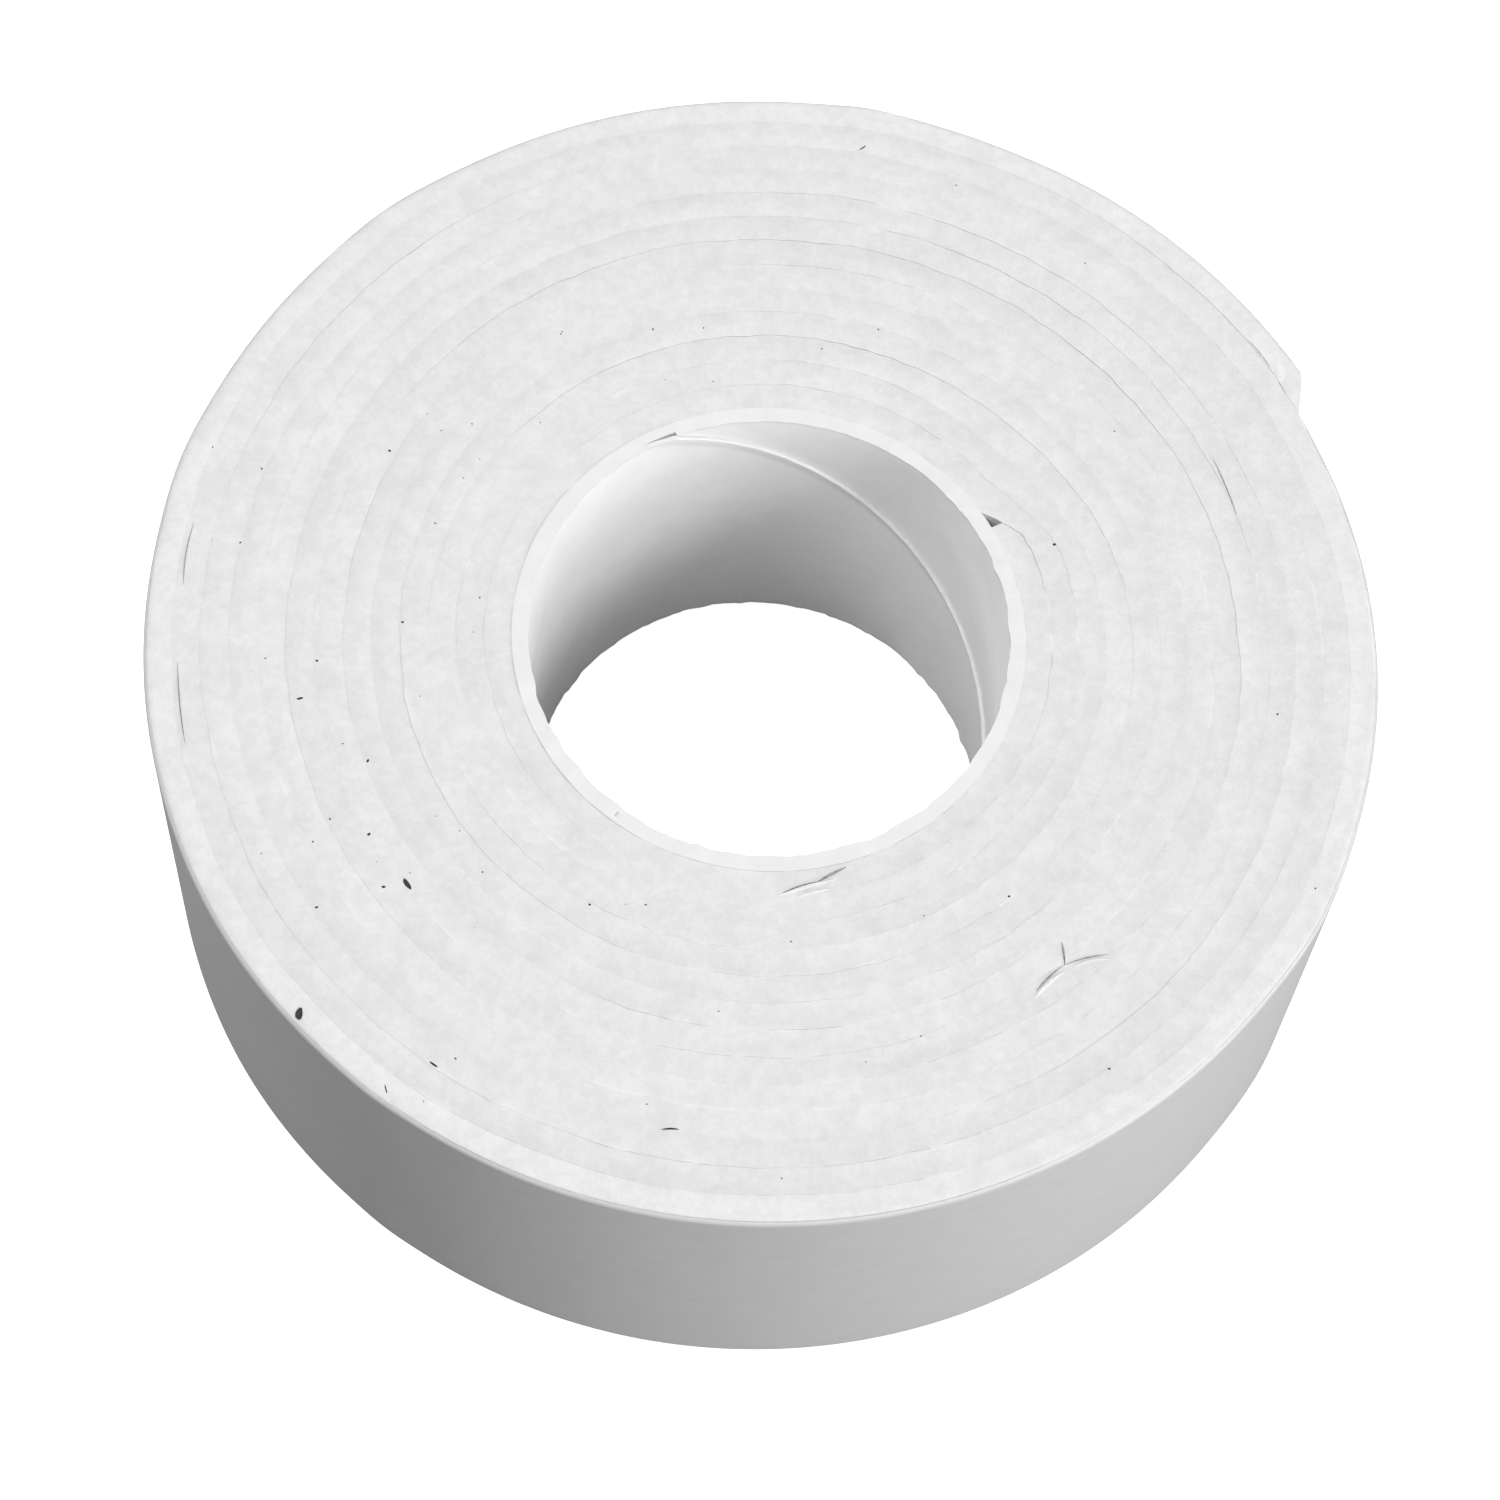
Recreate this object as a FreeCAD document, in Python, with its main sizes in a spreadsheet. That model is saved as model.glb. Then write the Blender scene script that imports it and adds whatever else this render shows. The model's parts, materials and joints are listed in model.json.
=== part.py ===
import FreeCAD, Part
import math
import os
import Sketcher

# A roll of soft foam grip tape wound on a short paper core, lying flat on one of its sides.
#
# Millimetres, +Z up. The origin is on the core's axis, in the plane that the roll rests on.
# Seen from above the strip is wound clockwise. "Angle" is measured clockwise from the strip's
# inner end, and "total angle" goes on counting over the turns.
#
# Level n is the surface on top of turn n, and level 0 is the core's outside. Foam gives, so a
# level grows evenly all the way round, along two half circles with centres a little apart.
# Near the inner end the next turn has to climb over it: a short climb joins each level to the
# one above it, and the climbs get lower from turn to turn.
#
# From inside out the strip is an adhesive coat, the foam, a second adhesive coat and the
# release liner. The last stretch is divided at its bends into tail lengths that lift one
# after another, and the liner over the last of them is a flap.

SIZES = [
    ("tape_width", 25.0),  # the roll's height
    ("turns", 13),
    ("bore_diameter", 29.0),
    ("ply_thickness", 0.30),  # each of the core's three paper plies
    ("glue_line", 0.02),  # between one ply and the next
    ("seam_lead", 53.0),  # how far a ply's seam rises in one turn
    ("seam_width", 0.15),
    ("foam_thickness", 1.39),  # on the side where the turns lie closest
    ("turn_slack", 0.13),  # how much thicker a turn is after a full turn
    ("adhesive_thickness", 0.05),
    ("liner_thickness", 0.09),
    ("layer_gap", 0.01),  # between layers that lie on each other
    ("climb_angle", 9.0),  # the arc over which a level climbs to the next
    ("start_bearing", 33.7),  # where the inner end lies, anticlockwise from +X
    ("end_offset", 1.0),  # how far past the inner end the outer end lies, degrees
    ("end_slant", 2.4),  # how much shorter the strip's outside is at the slanting cut
    ("tail_lengths", 4),
    ("tail_angle", 15.0),  # the arc of each tail length
    ("tail_gap", 0.05),  # the cut between tail lengths
    ("tail_clearance", 0.10),  # between the tail and the turn under it
    ("flap_angle", 10.0),  # the arc of the liner flap on the last tail length
    ("flap_clearance", 0.05),  # between the flap and the coat under it
]

PLIES = ["core_inner_ply", "core_middle_ply", "core_outer_ply"]
TOP_SEAM_BEARING = 118.0  # where the inner ply's seam meets the top edge
SEAM_STAGGER = 120.0  # each ply's seam is turned this far from the last
SEAM_OVERRUN = 1.0  # the seam cut starts and ends this far outside the ply

doc = FreeCAD.newDocument("grip_tape_roll")


def make_sheet():
    """The spreadsheet that holds the driving dimensions."""
    sheet = doc.addObject("Spreadsheet::Sheet", "Sizes")
    for row, (alias, value) in enumerate(SIZES, start=1):
        sheet.set(f"A{row}", alias)
        sheet.set(f"B{row}", str(value))
        sheet.setAlias(f"B{row}", alias)
    doc.recompute()
    return sheet


sizes = make_sheet()
core_wall = len(PLIES) * sizes.ply_thickness + (len(PLIES) - 1) * sizes.glue_line
core_radius = sizes.bore_diameter / 2 + core_wall
coat_depth = sizes.adhesive_thickness + sizes.layer_gap
liner_depth = sizes.liner_thickness + sizes.layer_gap
pitch = sizes.foam_thickness + 2 * coat_depth + liner_depth + sizes.layer_gap
end_angle = 360 * int(sizes.turns) + sizes.end_offset
flap_cut = end_angle - sizes.flap_angle
half_climb = sizes.climb_angle / 2


# ---- the core ----------------------------------------------------------------------------


def origin_plane(body, role):
    """One of a body's own origin planes."""
    return next(f for f in body.Origin.OriginFeatures if f.Role == role)


def make_ply(name, index):
    """One ply of the core: a paper tube, open along the helical seam where its edges meet."""
    body = doc.addObject("PartDesign::Body", name)
    step = f"{index} * (Sizes.ply_thickness + Sizes.glue_line)"
    inner = f"Sizes.bore_diameter / 2 + {step}"

    ring = body.newObject("Sketcher::SketchObject", f"{name}_ring")
    ring.AttachmentSupport = [(origin_plane(body, "XY_Plane"), "")]
    ring.MapMode = "FlatFace"
    for start_radius, radius in ((15, inner), (16, f"{inner} + Sizes.ply_thickness")):
        circle = ring.addGeometry(
            Part.Circle(FreeCAD.Vector(0, 0, 0), FreeCAD.Vector(0, 0, 1), start_radius), False
        )
        ring.addConstraint(Sketcher.Constraint("Coincident", circle, 3, -1, 1))
        size = ring.addConstraint(Sketcher.Constraint("Radius", circle, start_radius))
        ring.setExpression(f"Constraints[{size}]", radius)
    tube = body.newObject("PartDesign::Pad", f"{name}_tube")
    tube.Profile = ring
    tube.setExpression("Length", "Sizes.tape_width")
    doc.recompute()

    profile = body.newObject("Sketcher::SketchObject", f"{name}_seam_profile")
    profile.AttachmentSupport = [(origin_plane(body, "XZ_Plane"), "")]
    profile.MapMode = "FlatFace"
    corners = [(14, -2), (17, -2), (17, -1), (14, -1)]
    for i in range(4):
        ends = [FreeCAD.Vector(*corners[j], 0) for j in (i, (i + 1) % 4)]
        profile.addGeometry(Part.LineSegment(*ends), False)
    for i in range(4):
        profile.addConstraint(Sketcher.Constraint("Coincident", i, 2, (i + 1) % 4, 1))
        kind = "Horizontal" if i % 2 == 0 else "Vertical"
        profile.addConstraint(Sketcher.Constraint(kind, i))
    # The cut reaches a ply's thickness past both of its faces, and starts below the tube.
    for kind, line, point, value, size in (
        ("DistanceX", 0, 1, 14, f"{inner} - Sizes.ply_thickness"),
        ("DistanceX", 0, 2, 17, f"{inner} + 2 * Sizes.ply_thickness"),
        ("DistanceY", 0, 1, -2, f"-{SEAM_OVERRUN} - Sizes.seam_width / 2"),
        ("DistanceY", 2, 2, -1, f"-{SEAM_OVERRUN} + Sizes.seam_width / 2"),
    ):
        number = profile.addConstraint(Sketcher.Constraint(kind, -1, 1, line, point, value))
        profile.setExpression(f"Constraints[{number}]", size)
    seam = body.newObject("PartDesign::SubtractiveHelix", f"{name}_seam")
    seam.Profile = profile
    seam.ReferenceAxis = (profile, ["V_Axis"])
    seam.Mode = "pitch-height-angle"
    seam.setExpression("Pitch", "Sizes.seam_lead")
    seam.setExpression("Height", f"Sizes.tape_width + {2 * SEAM_OVERRUN}")
    doc.recompute()

    body.Placement = FreeCAD.Placement(
        FreeCAD.Vector(0, 0, 0), FreeCAD.Rotation(FreeCAD.Vector(0, 0, 1), 1)
    )
    body.setExpression(
        "Placement.Rotation.Angle",
        f"{TOP_SEAM_BEARING + index * SEAM_STAGGER}"
        f" - 360 * (Sizes.tape_width + {SEAM_OVERRUN}) / Sizes.seam_lead",
    )
    return body


# ---- the wound strip ---------------------------------------------------------------------


def polar(radius, angle):
    """The point at this distance from the core's axis and angle from the strip's inner end."""
    bearing = math.radians(sizes.start_bearing - angle)
    return FreeCAD.Vector(radius * math.cos(bearing), radius * math.sin(bearing), 0)


def level_point(level, offset, angle):
    """A point on the arcs of a level, moved out by offset, at an angle from 0 to 360."""
    growth = level * sizes.turn_slack
    second_half = angle > 180
    shift = growth / 4 if second_half else -growth / 4
    arc_radius = core_radius + level * pitch + growth * (0.75 if second_half else 0.25) + offset
    turned = math.radians(angle)
    radius = shift * math.cos(turned) + math.sqrt(arc_radius**2 - (shift * math.sin(turned)) ** 2)
    return polar(radius, angle)


def strip_point(first_level, offset, total):
    """A point on a line that follows the strip, which lies on first_level in the first turn."""
    turn, angle = divmod(total, 360)
    level = first_level + int(turn)
    if angle < half_climb and level > 0:
        level, angle = level - 1, angle + 360
    if angle <= 360 - half_climb:
        return level_point(level, offset, angle % 360)
    foot = level_point(level, offset, 360 - half_climb).Length
    top = level_point(level + 1, offset, half_climb).Length
    climbed = (angle - 360 + half_climb) / sizes.climb_angle
    return polar(foot + (top - foot) * climbed, angle)


def strip_edges(first_level, offset, start, end):
    """The arcs of a line that follows the strip from one total angle to another."""
    stops = [start]
    for turn in range(int(start // 360), int(end // 360) + 1):
        for angle in (half_climb, 180, 360 - half_climb):
            if start < 360 * turn + angle < end:
                stops.append(360 * turn + angle)
    stops.append(end)
    edges = []
    for near, far in zip(stops, stops[1:]):
        through = [strip_point(first_level, offset, a) for a in (near, (near + far) / 2, far)]
        edges.append(Part.Arc(*through).toShape())
    return edges


def layer_profile(inside, outside, start, end):
    """The flat outline of a layer between two lines along the strip.

    inside and outside are (first_level, offset). start and end are pairs of total angles,
    for the inside and the outside, so an end can be cut on a slant.
    """
    inner = strip_edges(*inside, start[0], end[0])
    outer = strip_edges(*outside, start[1], end[1])
    ends = [
        Part.makeLine(strip_point(*inside, angles[0]), strip_point(*outside, angles[1]))
        for angles in (start, end)
    ]
    return Part.Face(Part.Wire(Part.sortEdges(inner + outer + ends)[0]))


def make_layer(name, profile):
    """A layer's solid, as tall as the tape is wide."""
    outline = doc.addObject("Part::Feature", f"{name}_outline")
    outline.Shape = profile
    layer = doc.addObject("Part::Extrusion", name)
    layer.Base = outline
    layer.DirMode = "Custom"
    layer.Dir = FreeCAD.Vector(0, 0, 1)
    layer.Solid = True
    layer.setExpression("LengthFwd", "Sizes.tape_width")
    return layer


def strip_layers(lift=0.0, drop=0.0):
    """The strip's layers as name: (inside, outside), with the depths they lie at.

    lift raises the strip's inside off the turn below, and drop lowers all that lies under
    the liner. The foam gives way to both.
    """
    gap = sizes.layer_gap
    return {
        "inner_adhesive": ((0, lift + gap), (0, lift + coat_depth)),
        "foam": ((0, lift + gap + coat_depth), (1, -liner_depth - coat_depth - drop)),
        "outer_adhesive": ((1, -liner_depth - coat_depth - drop + gap), (1, -liner_depth - drop)),
        "liner": ((1, -sizes.liner_thickness), (1, 0)),
    }


def slanted_end(inside, outside):
    """The total angles at which a layer's inside and outside meet the slanting outer cut."""
    outer_radius = core_radius + sizes.turns * (pitch + sizes.turn_slack)
    slant = math.degrees(sizes.end_slant / outer_radius)
    angles = []
    for level, offset in (inside, outside):
        depth = (level * pitch + offset) / pitch
        angles.append(end_angle + slant * (0.5 - depth))
    return angles


def tail_cut(index):
    """The total angle at the middle of the cut where tail length index begins, from 1."""
    return end_angle - (int(sizes.tail_lengths) + 1 - index) * sizes.tail_angle


def half_cut():
    """Half the angle that a cut between tail lengths takes up."""
    outer_radius = core_radius + sizes.turns * (pitch + sizes.turn_slack)
    return math.degrees(sizes.tail_gap / 2 / outer_radius)


def make_wound_strip():
    """The wound part of the strip, from its inner end to the first tail length."""
    finish = tail_cut(1) - half_cut()
    return [
        make_layer(f"wound_{name}", layer_profile(*lines, (0, 0), (finish, finish)))
        for name, lines in strip_layers().items()
    ]


def make_tail_length(index):
    """One tail length: its four layers, and on the last length also the liner flap."""
    last = index == int(sizes.tail_lengths)
    start = tail_cut(index) + half_cut()
    drop = sizes.flap_clearance if last else 0.0
    parts = []
    for name, lines in strip_layers(sizes.tail_clearance, drop).items():
        finish = slanted_end(*lines) if last else [tail_cut(index + 1) - half_cut()] * 2
        if last and name == "liner":
            flap = layer_profile(*lines, [flap_cut + half_cut()] * 2, finish)
            parts.append(make_layer("liner_flap", flap))
            finish = [flap_cut - half_cut()] * 2
        profile = layer_profile(*lines, (start, start), finish)
        parts.append(make_layer(f"tail_{index}_{name}", profile))
    return parts


# ---- the whole roll ----------------------------------------------------------------------


def check_objects():
    """Stops if any object of the document failed."""
    doc.recompute()
    for item in doc.Objects:
        if "Invalid" in item.State or "Error" in item.State:
            raise RuntimeError(f"{item.Label} failed: {item.State}")


def check_part(part):
    """Stops if a sub-part isn't a valid solid."""
    if part.Shape.isNull() or not part.Shape.isValid() or len(part.Shape.Solids) != 1:
        raise RuntimeError(f"{part.Label} has no valid shape")


parts = [make_ply(name, index) for index, name in enumerate(PLIES)]
parts += make_wound_strip()
for number in range(1, int(sizes.tail_lengths) + 1):
    parts += make_tail_length(number)

check_objects()
for sub_part in parts:
    check_part(sub_part)

os.makedirs("parts", exist_ok=True)
for sub_part in parts:
    sub_part.Shape.exportStep(f"parts/{sub_part.Label}.step")

for number in range(1, int(sizes.tail_lengths) + 1):
    hinge = strip_point(1, 0, tail_cut(number))
    print(f"hinge of tail length {number}: {hinge.x:.4f} {hinge.y:.4f}")
flap_hinge = strip_point(1, 0, flap_cut)
print(f"hinge of the liner flap: {flap_hinge.x:.4f} {flap_hinge.y:.4f}")
print(f"core wall {core_wall:.3f}, outer radius {strip_point(1, 0, end_angle).Length:.3f}")
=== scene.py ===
"""Models a roll of soft foam grip tape on its spiral-wound paper core."""

import json
import math
import random

import bmesh
import bpy
from mathutils import Matrix, Vector, noise


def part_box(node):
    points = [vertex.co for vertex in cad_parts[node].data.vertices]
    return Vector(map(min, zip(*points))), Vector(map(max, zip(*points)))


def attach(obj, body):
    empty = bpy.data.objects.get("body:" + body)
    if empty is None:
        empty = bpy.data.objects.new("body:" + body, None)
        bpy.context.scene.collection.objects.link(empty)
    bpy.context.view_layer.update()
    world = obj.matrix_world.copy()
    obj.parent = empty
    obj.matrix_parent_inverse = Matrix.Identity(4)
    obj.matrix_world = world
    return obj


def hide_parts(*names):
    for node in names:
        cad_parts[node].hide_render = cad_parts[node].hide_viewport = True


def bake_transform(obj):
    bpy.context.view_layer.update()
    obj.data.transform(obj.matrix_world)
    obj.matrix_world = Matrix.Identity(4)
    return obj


bl_info = {
    "name": "Foam Grip Tape Roll",
    "version": (1, 0, 0),
    "blender": (4, 5, 0),
    "location": "View3D > Sidebar > Grip Tape",
    "description": "Models a roll of foam grip tape on a paper core",
    "category": "Add Mesh",
}

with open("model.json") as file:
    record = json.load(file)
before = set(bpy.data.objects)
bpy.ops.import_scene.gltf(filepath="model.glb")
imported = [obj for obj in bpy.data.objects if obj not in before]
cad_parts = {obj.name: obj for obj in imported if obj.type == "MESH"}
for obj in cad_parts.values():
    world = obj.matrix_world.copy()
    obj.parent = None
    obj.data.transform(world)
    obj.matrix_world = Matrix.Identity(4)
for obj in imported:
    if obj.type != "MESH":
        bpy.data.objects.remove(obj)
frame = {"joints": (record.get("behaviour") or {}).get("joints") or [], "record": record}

MM = 0.001
CORE_BORE = next(m for m in frame["record"]["mounts"] if m["name"] == "core_bore")
HINGES = {j["child"]: Vector(j["pos_m"]) for j in frame["joints"]}
BORE_RADIUS = CORE_BORE["dims"]["r_mm"] * MM
CORE_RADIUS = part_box("core_outer_ply")[1].x
TAPE_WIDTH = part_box("wound_foam")[1].z
TAIL_BODIES = ["roll", "tail_1", "tail_2", "tail_3", "tail_4"]
START_BEARING = 33.7


# ---- sizes and finishes --------------------------------------------------------------------


def length(name, description, default):
    """A length, given in millimetres."""
    return bpy.props.FloatProperty(
        name=name,
        description=description,
        default=default * MM,
        unit="LENGTH",
        subtype="DISTANCE",
        precision=5,
    )


def angle(name, description, default):
    """An angle, given in degrees."""
    return bpy.props.FloatProperty(
        name=name, description=description, default=math.radians(default), subtype="ANGLE"
    )


def colour(name, description, default):
    """A colour."""
    return bpy.props.FloatVectorProperty(
        name=name, description=description, default=default, size=3, min=0, max=1, subtype="COLOR"
    )


class TapeSizes(bpy.types.PropertyGroup):
    """The strip and the way it is wound."""

    turns: bpy.props.IntProperty(name="Turns", description="Turns on the core", default=13, min=2)
    start_bearing: angle("Start", "Where the strip's inner end lies", START_BEARING)
    end_offset: angle("End past start", "How far past its inner end the strip ends", 1.0)
    climb: angle("Climb", "The arc over which a turn climbs over the inner end", 9.0)
    tail_angle: angle("Tail length", "The arc of each tail length", 15.0)
    tail_bend: angle("Tail bend", "The arc over which the tail bends", 10.0)
    flap_bend: angle("Flap bend", "The arc over which the liner's flap bends", 3.0)
    station: angle("Station", "The arc between two divisions of the strip", 1.0)
    crush: length("Crushed edge", "How deep the slit edges are crushed", 0.35)
    slack: length("Slack", "How much thicker a turn is after a full turn", 0.13)
    coat: length("Adhesive", "The thickness of an adhesive coat", 0.05)
    liner: length("Liner", "The thickness of the release liner", 0.09)
    gap: length("Layer gap", "Between layers that lie on each other", 0.01)
    tail_lift: length("Tail gap", "Between the tail and the turn under it", 0.005)
    end_slant: length("Slant", "How much shorter the outside is at the cut", 2.4)
    shoulder: length("Shoulder", "The rounding of the outermost turn's edges", 0.5)
    unevenness: length("Unevenness", "How far the turns' edges stand up or sink in", 0.024)


class CoreSizes(bpy.types.PropertyGroup):
    """The paper core."""

    plies: bpy.props.IntProperty(name="Plies", description="Plies of paper", default=3, min=1)
    ply: length("Ply", "The thickness of a ply", 0.30)
    glue: length("Glue line", "Between one ply and the next", 0.02)
    seam_lead: length("Seam lead", "How far a seam rises in one turn", 53.0)
    seam_width: length("Seam", "The gap between a ply's edges", 0.15)
    seam_lift: length("Lifted edge", "How far the inner ply's edge curls in", 0.22)
    seam_bearing: angle("Seam top", "Where the inner ply's seam meets the top", 118.0)
    seam_stagger: angle("Stagger", "How far each ply's seam is turned from the last", 120.0)
    roughness: length("Rim unevenness", "How uneven the rim's cut is", 0.14)


class Finishes(bpy.types.PropertyGroup):
    """The colours of the materials."""

    foam: colour("Foam", "White closed-cell foam", (0.755, 0.755, 0.755))
    skin: colour("Liner", "White siliconised paper", (0.74, 0.74, 0.74))
    coat: colour("Adhesive", "Tacky coat", (0.72, 0.72, 0.71))
    paper: colour("Core paper", "White core paper", (0.965, 0.965, 0.965))
    dirt: colour("Dirt", "Fibres and specks", (0.02, 0.02, 0.02))
    floor: colour("Floor", "Pale floor", (0.9, 0.9, 0.9))


class StageSettings(bpy.types.PropertyGroup):
    """The lights and the camera."""

    room_light: bpy.props.FloatProperty(
        name="Room light", description="Strength of the light from all round", default=0.226, min=0
    )
    lens: bpy.props.FloatProperty(
        name="Lens", description="Focal length in millimetres", default=103.6, min=1
    )
    roll: angle("Camera roll", "How far the camera is turned about its view", 5.36)


SETTINGS = (TapeSizes, CoreSizes, Finishes, StageSettings)
SETTING_NAMES = ("tape_sizes", "core_sizes", "tape_finishes", "stage_settings")


# ---- how the strip is wound ----------------------------------------------------------------


def ease(value):
    """0 below 0, 1 above 1, and smooth between them."""
    value = min(max(value, 0.0), 1.0)
    return value * value * (3 - 2 * value)


# How far the roll is from round, as (waves, height, phase), in millimetres and radians.
STRAYS = ((2, 0.13, 0.57), (1, 0.08, 0.93), (0, 0.05, 0.0), (3, 0.07, 0.32))

# Bulges and flats of the outer turns as (bearing, spread, height), in degrees and millimetres.
BULGES = (
    (85, 4, 0.18),
    (70, 7, -0.10),
    (134, 6, 0.20),
    (167, 6, 0.16),
    (-24, 7, 0.22),
    (-123, 3, 0.06),
    (-145, 10, 0.05),
)


class Winding:
    """The lines that the strip's layers follow round the core, by total angle in degrees.

    A line is (first_level, offset): level n is the surface on top of turn n, a line lies on
    first_level in the first turn, and offset moves it out.
    """

    SOFTER = 7  # degrees that half the climb grows with each turn

    def __init__(self, tape):
        self.tape = tape
        self.start_bearing = math.degrees(tape.start_bearing)
        self.end = 360 * tape.turns + math.degrees(tape.end_offset)
        self.outer_radius = HINGES["liner_flap"].xy.length
        self.pitch = 0.0
        turned = self.flap_cut() % 360
        thin = self.level_radius(tape.turns, 0.0, turned, True)
        self.pitch = (self.outer_radius - thin) / tape.turns

    def level_radius(self, level, offset, turned, second_half):
        """The radius of one of a level's two half circles, at an angle in degrees."""
        growth = level * self.tape.slack
        shift = growth / 4 if second_half else -growth / 4
        arc = CORE_RADIUS + level * self.pitch + growth * (0.75 if second_half else 0.25) + offset
        turned = math.radians(turned)
        return shift * math.cos(turned) + math.sqrt(arc**2 - (shift * math.sin(turned)) ** 2)

    def half_climb(self, level):
        """Half the arc over which a level climbs to the next: soft turns hide the step."""
        return math.degrees(self.tape.climb) / 2 + self.SOFTER * level

    def radius(self, line, total):
        """The distance of a line from the core's axis."""
        first_level, offset = line
        turn, turned = divmod(total, 360)
        level = first_level + int(turn)
        if level > 0 and turned < self.half_climb(level - 1):
            level, turned = level - 1, turned + 360
        half = self.half_climb(level)
        radius = self.level_radius(level, offset, turned, turned > 180)
        if turned > 360 - half:
            upper = self.level_radius(level + 1, offset, turned - 360, False)
            climbed = (turned - 360 + half) / (2 * half)
            radius += (upper - radius) * (ease(climbed) if level else climbed)
        return radius + self.swell(first_level + total / 360, total)

    def swell(self, turns_below, total):
        """How far the turns, wound by hand, stray from true half circles."""
        bearing = self.bearing(total)
        about = math.radians(bearing)
        stray = sum(height * math.cos(waves * about + phase) for waves, height, phase in STRAYS)
        share = min(turns_below / self.tape.turns, 1.0)
        local = 0.0
        for place, spread, height in BULGES:
            off = (bearing - place + 180) % 360 - 180
            local += height * math.exp(-((off / spread) ** 2))
        return MM * (stray * share**2 + local * share**8)

    def bearing(self, total):
        """The compass of the roll: degrees anticlockwise from +X."""
        return self.start_bearing - total

    def tail_cut(self, index):
        """The total angle of hinge number index of the tail, from 1."""
        lengths = len(TAIL_BODIES) - 1
        return self.end - (lengths + 1 - index) * math.degrees(self.tape.tail_angle)

    def flap_cut(self):
        """The total angle of the flap's hinge."""
        hinge = HINGES["liner_flap"]
        short = math.degrees(math.atan2(hinge.y, hinge.x)) - self.bearing(self.end)
        return self.end - short % 360

    def outermost(self, total):
        """1 on the outermost turn, and 0 on the others."""
        return ease((total - self.end + 359) / 5)

    def lift(self, total):
        """How far the tail lies off the turn under it."""
        return self.tape.tail_lift * ease((total - self.tail_cut(1)) / 10)

    def point(self, total, line=(1, 0.0), height=0.0):
        """A point on a line."""
        bearing = math.radians(self.bearing(total))
        radius = self.radius(line, total)
        return Vector((radius * math.cos(bearing), radius * math.sin(bearing), height))


def between_foam(tape):
    """The thickness of all that lies between one turn's foam and the next's."""
    return 2 * (tape.coat + tape.gap) + tape.liner + 2 * tape.gap


def layer_lines(winding):
    """Each layer's inside and outside lines."""
    tape = winding.tape
    coat, liner = tape.coat + tape.gap, tape.liner + tape.gap
    return {
        "inner_adhesive": ((0, tape.gap), (0, coat)),
        "foam": ((0, tape.gap + coat), (1, -liner - coat)),
        "outer_adhesive": ((1, -liner - coat + tape.gap), (1, -liner)),
        "liner": ((1, -tape.liner), (1, 0.0)),
    }


# ---- making a strip flat, and winding it ---------------------------------------------------


def edges_along(bm, axis):
    """The edges that run along one axis."""
    found = []
    for edge in bm.edges:
        run = edge.verts[1].co - edge.verts[0].co
        if abs(run[axis]) > 0.999 * run.length:
            found.append(edge)
    return found


def cut_across(bm, axis, places):
    """Cuts a flat strip square across one axis at each place."""
    normal = [0, 0, 0]
    normal[axis] = 1
    for place in places:
        middle = [0, 0, 0]
        middle[axis] = place
        bmesh.ops.bisect_plane(
            bm,
            geom=bm.verts[:] + bm.edges[:] + bm.faces[:],
            dist=1e-6,
            plane_co=middle,
            plane_no=normal,
        )


def flat_strip(parts, thickness, heights, depths=(), edge=0.0):
    """A flat strip, in millimetres and one unit of length for each station.

    It is divided at the heights and depths that it bends at, and edge rounds its long edges.
    """
    bm = bmesh.new()
    bmesh.ops.create_cube(bm, size=1)
    bmesh.ops.translate(bm, verts=bm.verts, vec=(0.5, 0.5, 0.5))
    bmesh.ops.scale(bm, verts=bm.verts, vec=(parts, thickness / MM, TAPE_WIDTH / MM))
    cut_across(bm, 1, [depth / MM for depth in depths])
    cut_across(bm, 2, [height / MM for height in heights])
    if edge:
        middle = Vector((0, thickness / MM / 2, TAPE_WIDTH / MM / 2))
        corners = []
        for long_edge in edges_along(bm, 0):
            off = long_edge.verts[0].co - middle
            if all(abs(abs(off[axis]) - middle[axis]) < 1e-4 for axis in (1, 2)):
                corners.append(long_edge)
        bmesh.ops.bevel(
            bm,
            geom=corners,
            offset=edge / MM,
            offset_type="OFFSET",
            segments=2,
            profile=0.5,
            affect="EDGES",
            material=-1,
        )
    most = 60  # a long strip is divided twice, which is quicker than once into many parts
    first = next((n for n in range(most, 1, -1) if parts % n == 0), 1) if parts > most else 1
    for count in (first, parts // first):
        if count > 1:
            bmesh.ops.subdivide_edges(
                bm, edges=edges_along(bm, 0), cuts=count - 1, use_grid_fill=True
            )
    return bm


def round_corner(depth, drop, corner):
    """Moves a point near a square edge, depth in and drop down from it, onto a rounded one."""
    inward, down = corner - depth, corner - drop
    if inward <= 0 or down <= 0:
        return depth, drop
    share = max(inward, down) / math.hypot(inward, down)
    return corner - inward * share, corner - down * share


def stand_proud(total, unevenness):
    """How far the strip's top edge stands above the roll's side."""
    slow = noise.noise(Vector((total / 95, 3.1, 0.0)))
    quick = noise.noise(Vector((total / 17, 0.0, 7.7)))
    return unevenness * (1.3 * slow + 0.45 * quick)


def covered(winding, along):
    """1 where turns lie on both sides of a boundary, 0 on the core and on the outermost turn."""
    return ease((along - 345) / 15) * ease((winding.end + 5 - along) / 3)


def ragged(along):
    """How far a boundary between two turns strays at the roll's sides, where it was slit."""
    return MM * (0.06 * waver(along, 2.6, 15.7) + 0.05 * waver(along, 11, 17.1))


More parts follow.
